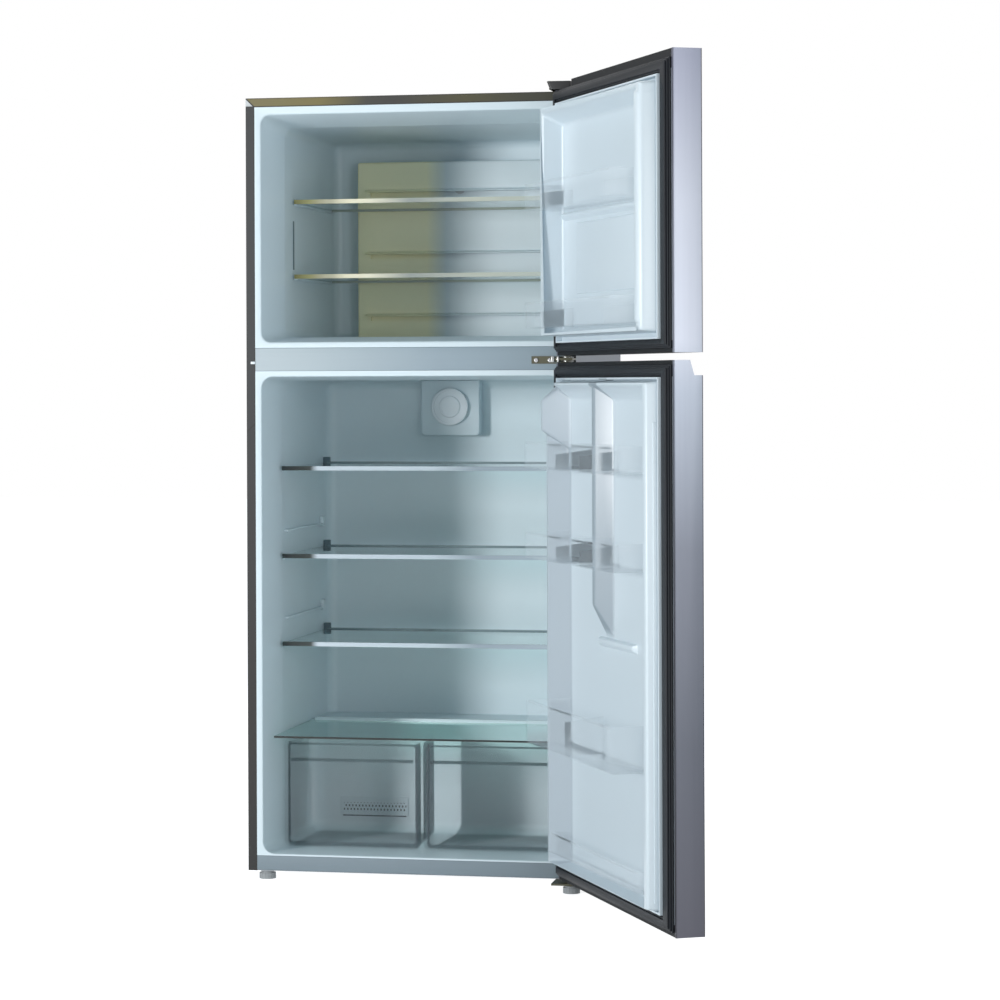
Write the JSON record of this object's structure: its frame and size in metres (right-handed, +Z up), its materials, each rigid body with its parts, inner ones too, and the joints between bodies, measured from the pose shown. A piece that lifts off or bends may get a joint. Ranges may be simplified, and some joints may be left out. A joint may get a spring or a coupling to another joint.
{
  "type": "top freezer refrigerator",
  "caption": "Freestanding refrigerator with a freezer above it: insulated cabinet, two hinged doors shown open, glass shelves, clear door bins and crisper drawers.",
  "frame": {"origin": "on the floor, at the middle of the cabinet's width, under the front plane of the cabinet", "axes": "+X to the right as seen from in front, +Y back into the cabinet, +Z up"},
  "size_m": [1.0383, 1.2735, 1.655],
  "materials": {
    "shell_paint": "smooth grey paint on steel",
    "zinc_sheet": "plain zinc coated sheet",
    "front_paint": "light silver paint",
    "foam": "rigid insulating foam, hidden",
    "liner_white": "smooth white moulded liner",
    "panel_white": "white moulded panel",
    "fin_aluminium": "plain",
    "motor_plastic": "dark moulded",
    "fan_plastic": "light grey moulded",
    "shelf_glass": "toughened float glass",
    "shelf_trim": "bright drawn strip",
    "drawer_clear": "clear moulded",
    "bin_clear": "clear moulded",
    "dial_white": "white moulded",
    "compressor_black": "black enamel",
    "tube_steel": "black coated tube",
    "pipe_copper": "bare copper tube",
    "tray_plastic": "dark moulded",
    "gland_rubber": "soft bush",
    "support_plastic": "dark moulded",
    "foot_plastic": "grey ribbed moulding",
    "hinge_steel": "zinc plated plate",
    "cover_plastic": "dark grey moulded",
    "screw_chrome": "plated",
    "door_steel": "silver coated sheet",
    "cap_plastic": "dark grey moulded",
    "gasket_rubber": "soft magnetic seal"
  },
  "bodies": {
    "cabinet": {"outer_shell": "shell_paint", "rear_panel": "zinc_sheet", "base_pan": "zinc_sheet", "front_base_rail": "front_paint", "mullion_cover": "front_paint", "cabinet_foam": "foam", "freezer_liner": "liner_white", "fridge_liner": "liner_white", "evaporator_cover": "panel_white", "evaporator_coil": "fin_aluminium", "evaporator_fan_motor": "motor_plastic", "crisper_cover": "shelf_glass", "duct_housing": "panel_white", "return_grille": "panel_white", "compressor": "compressor_black", "condenser_coil": "tube_steel", "drip_tray": "tray_plastic", "refrigerant_pipes": "pipe_copper", "rear_cover": "shell_paint", "inlet_gland": "gland_rubber", "rear_supports": "support_plastic", "top_hinge": "hinge_steel", "top_hinge_cover": "cover_plastic", "middle_hinge": "hinge_steel", "lower_hinge": "hinge_steel", "hinge_screws": "screw_chrome"},
    "freezer_door": {"freezer_door_skin": "door_steel", "freezer_door_caps": "cap_plastic", "freezer_door_foam": "foam", "freezer_door_liner": "liner_white", "freezer_door_gasket": "gasket_rubber"},
    "fridge_door": {"fridge_door_skin": "door_steel", "fridge_door_caps": "cap_plastic", "fridge_door_foam": "foam", "fridge_door_liner": "liner_white", "fridge_door_gasket": "gasket_rubber"},
    "freezer_shelf_upper": {"freezer_shelf_upper": "shelf_glass", "freezer_shelf_upper_trim": "shelf_trim"},
    "freezer_shelf_lower": {"freezer_shelf_lower": "shelf_glass", "freezer_shelf_lower_trim": "shelf_trim"},
    "fridge_shelf_upper": {"fridge_shelf_upper": "shelf_glass", "fridge_shelf_upper_trim": "shelf_trim"},
    "fridge_shelf_middle": {"fridge_shelf_middle": "shelf_glass", "fridge_shelf_middle_trim": "shelf_trim"},
    "fridge_shelf_lower": {"fridge_shelf_lower": "shelf_glass", "fridge_shelf_lower_trim": "shelf_trim"},
    "crisper_drawer_left": {"crisper_drawer_left": "drawer_clear"},
    "crisper_drawer_right": {"crisper_drawer_right": "drawer_clear"},
    "freezer_bin_upper": {"freezer_bin_upper": "bin_clear"},
    "freezer_bin_lower": {"freezer_bin_lower": "bin_clear"},
    "fridge_bin_upper_hinge_side": {"fridge_bin_upper_hinge_side": "bin_clear"},
    "fridge_bin_upper_free_side": {"fridge_bin_upper_free_side": "bin_clear"},
    "fridge_bin_middle_hinge_side": {"fridge_bin_middle_hinge_side": "bin_clear"},
    "fridge_bin_middle_free_side": {"fridge_bin_middle_free_side": "bin_clear"},
    "fridge_bin_large": {"fridge_bin_large": "bin_clear"},
    "fridge_bin_bottom": {"fridge_bin_bottom": "bin_clear"},
    "damper_dial": {"damper_dial": "dial_white"},
    "evaporator_fan": {"evaporator_fan": "fan_plastic"},
    "front_foot_left": {"front_foot_left": "foot_plastic"},
    "front_foot_right": {"front_foot_right": "foot_plastic"}
  },
  "joints": [
    {"name": "freezer_door_hinge", "type": "hinge", "parent": "cabinet", "child": "freezer_door", "pos_m": [0.338, -0.0333, 1.37], "axis": [0, 0, 1], "range_deg": [-117.6, 17.4]},
    {"name": "fridge_door_hinge", "type": "hinge", "parent": "cabinet", "child": "fridge_door", "pos_m": [0.338, -0.0333, 0.55], "axis": [0, 0, 1], "range_deg": [-117.6, 17.4]},
    {"name": "freezer_shelf_upper_slide", "type": "slide", "parent": "cabinet", "child": "freezer_shelf_upper", "axis": [0, -1, 0], "range_m": [0, 0.18]},
    {"name": "freezer_shelf_lower_slide", "type": "slide", "parent": "cabinet", "child": "freezer_shelf_lower", "axis": [0, -1, 0], "range_m": [0, 0.18]},
    {"name": "fridge_shelf_upper_slide", "type": "slide", "parent": "cabinet", "child": "fridge_shelf_upper", "axis": [0, -1, 0], "range_m": [0, 0.15]},
    {"name": "fridge_shelf_middle_slide", "type": "slide", "parent": "cabinet", "child": "fridge_shelf_middle", "axis": [0, -1, 0], "range_m": [0, 0.15]},
    {"name": "fridge_shelf_lower_slide", "type": "slide", "parent": "cabinet", "child": "fridge_shelf_lower", "axis": [0, -1, 0], "range_m": [0, 0.15]},
    {"name": "crisper_drawer_left_slide", "type": "slide", "parent": "cabinet", "child": "crisper_drawer_left", "axis": [0, -1, 0], "range_m": [0, 0.2]},
    {"name": "crisper_drawer_right_slide", "type": "slide", "parent": "cabinet", "child": "crisper_drawer_right", "axis": [0, -1, 0], "range_m": [0, 0.2]},
    {"name": "freezer_bin_upper_lift", "type": "slide", "parent": "freezer_door", "child": "freezer_bin_upper", "axis": [0, 0, 1], "range_m": [0, 0.04]},
    {"name": "freezer_bin_lower_lift", "type": "slide", "parent": "freezer_door", "child": "freezer_bin_lower", "axis": [0, 0, 1], "range_m": [0, 0.04]},
    {"name": "fridge_bin_upper_hinge_side_lift", "type": "slide", "parent": "fridge_door", "child": "fridge_bin_upper_hinge_side", "axis": [0, 0, 1], "range_m": [0, 0.04]},
    {"name": "fridge_bin_upper_free_side_lift", "type": "slide", "parent": "fridge_door", "child": "fridge_bin_upper_free_side", "axis": [0, 0, 1], "range_m": [0, 0.04]},
    {"name": "fridge_bin_middle_hinge_side_lift", "type": "slide", "parent": "fridge_door", "child": "fridge_bin_middle_hinge_side", "axis": [0, 0, 1], "range_m": [0, 0.04]},
    {"name": "fridge_bin_middle_free_side_lift", "type": "slide", "parent": "fridge_door", "child": "fridge_bin_middle_free_side", "axis": [0, 0, 1], "range_m": [0, 0.04]},
    {"name": "fridge_bin_large_lift", "type": "slide", "parent": "fridge_door", "child": "fridge_bin_large", "axis": [0, 0, 1], "range_m": [0, 0.04]},
    {"name": "fridge_bin_bottom_lift", "type": "slide", "parent": "fridge_door", "child": "fridge_bin_bottom", "axis": [0, 0, 1], "range_m": [0, 0.04]},
    {"name": "damper_dial_turn", "type": "hinge", "parent": "cabinet", "child": "damper_dial", "pos_m": [-0.018, 0.497, 0.986], "axis": [0, 1, 0], "range_deg": [-135, 135]},
    {"name": "evaporator_fan_spin", "type": "hinge", "parent": "cabinet", "child": "evaporator_fan", "pos_m": [0, 0.54, 1.476], "axis": [0, 1, 0], "continuous": true},
    {"name": "front_foot_left_turn", "type": "hinge", "parent": "cabinet", "child": "front_foot_left", "pos_m": [-0.315, 0.025, 0.006], "axis": [0, 0, 1], "continuous": true},
    {"name": "front_foot_right_turn", "type": "hinge", "parent": "cabinet", "child": "front_foot_right", "pos_m": [0.345, -0.0503, 0.006], "axis": [0, 0, 1], "continuous": true}
  ]
}
